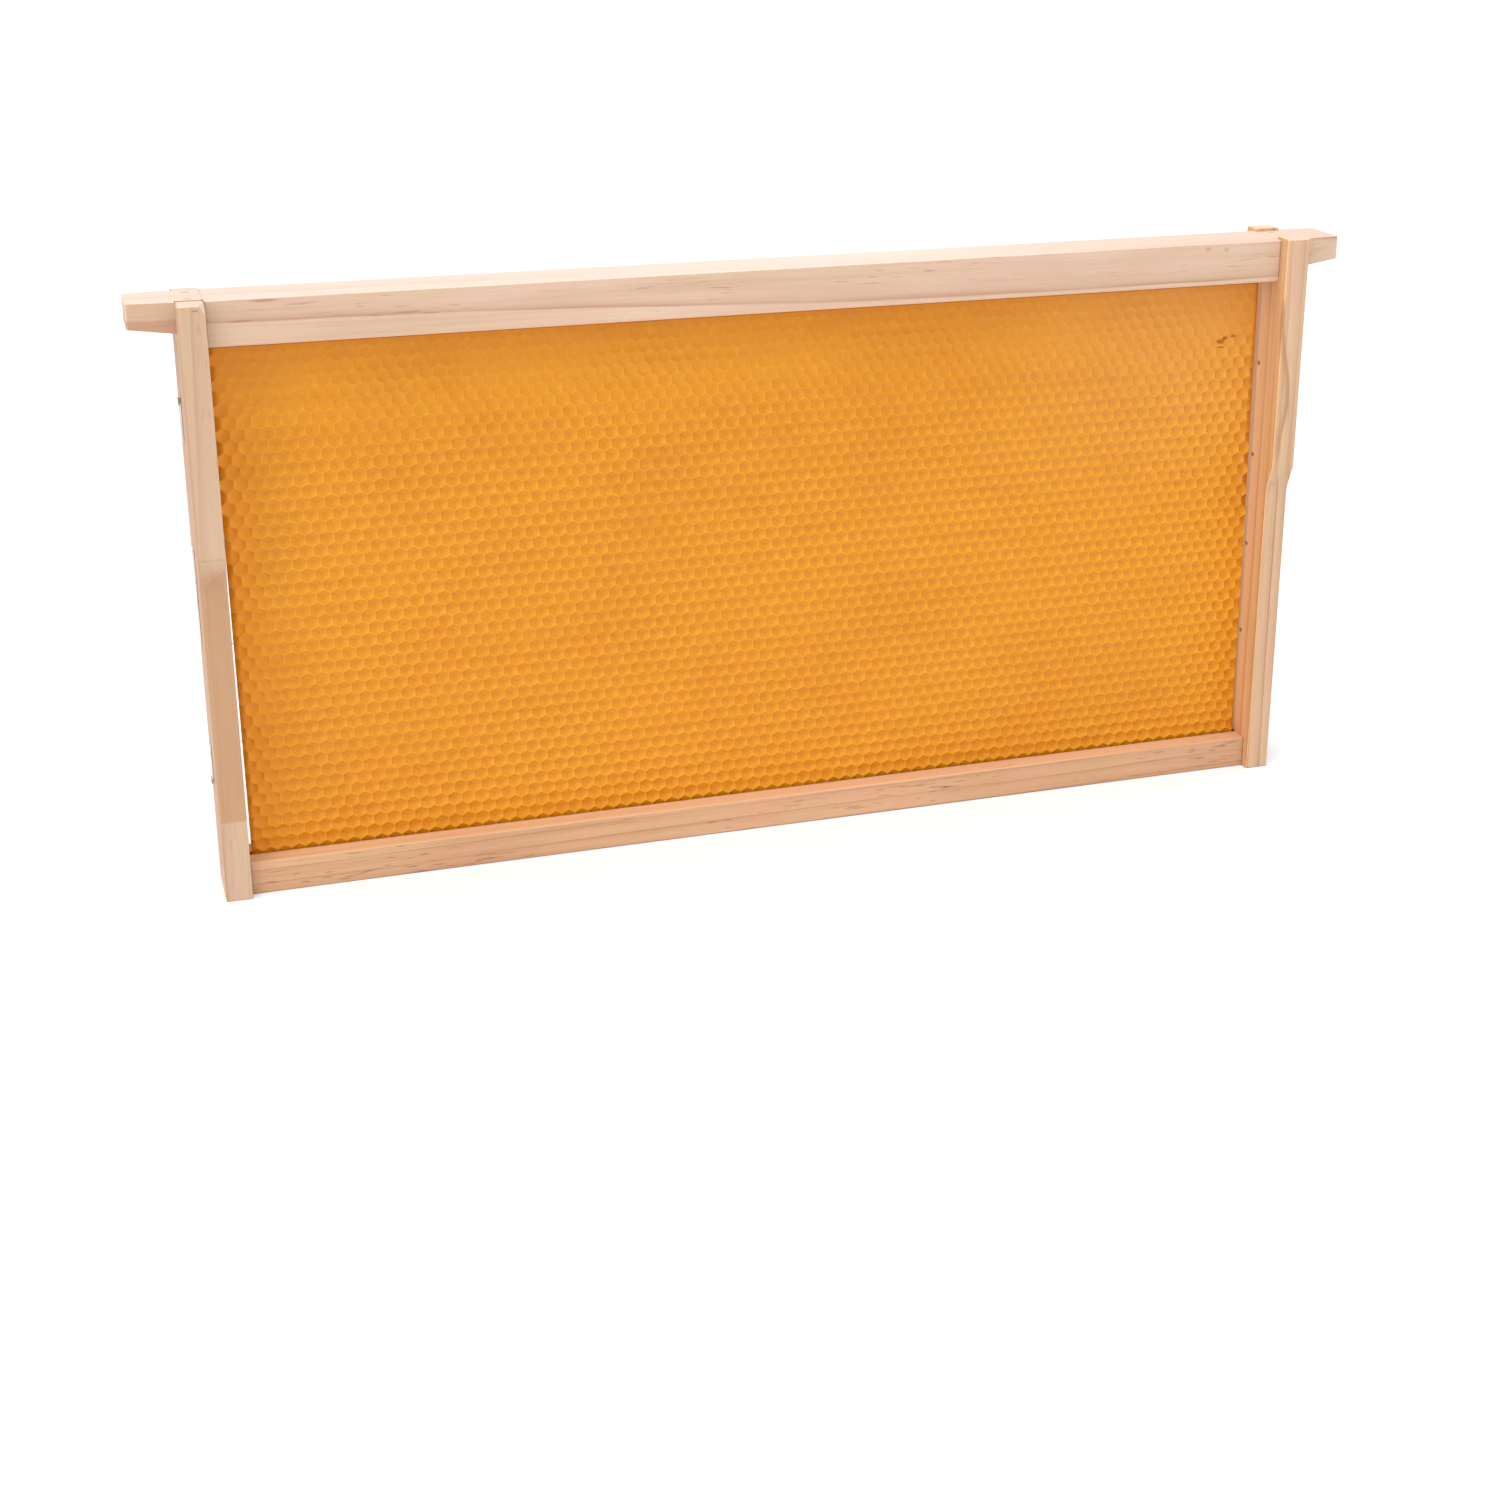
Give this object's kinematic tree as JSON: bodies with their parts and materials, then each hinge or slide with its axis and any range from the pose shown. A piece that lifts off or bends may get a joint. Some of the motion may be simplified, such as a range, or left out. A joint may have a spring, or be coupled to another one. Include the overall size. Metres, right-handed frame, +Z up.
{
  "type": "beehive frame",
  "caption": "Wooden Langstroth deep hive frame with self-spacing end bars, tapered lugs, and an embossed wax foundation sheet on a threaded support wire.",
  "frame": {"origin": "on the ground plane, under the middle of the frame: the underside of the bottom bar, halfway along it and through it", "axes": "+X along the frame from the left lug to the right lug, +Y through its thickness to the back, +Z up"},
  "size_m": [0.482, 0.035, 0.2332],
  "materials": {
    "wood": "bare, sanded",
    "beeswax": "waxy satin, embossed with hexagonal cells",
    "wire": "drawn, bright",
    "nail_steel": "plain"
  },
  "bodies": {
    "root": {"top_bar": "wood", "bottom_bar": "wood", "left_end_bar": "wood", "right_end_bar": "wood", "foundation_sheet": "beeswax", "support_wire": "wire", "lower_wire_tack": "nail_steel", "upper_wire_tack": "nail_steel", "left_top_nails": "nail_steel", "left_side_nail": "nail_steel", "left_bottom_nails": "nail_steel", "right_top_nails": "nail_steel", "right_side_nail": "nail_steel", "right_bottom_nails": "nail_steel"}
  },
  "joints": []
}
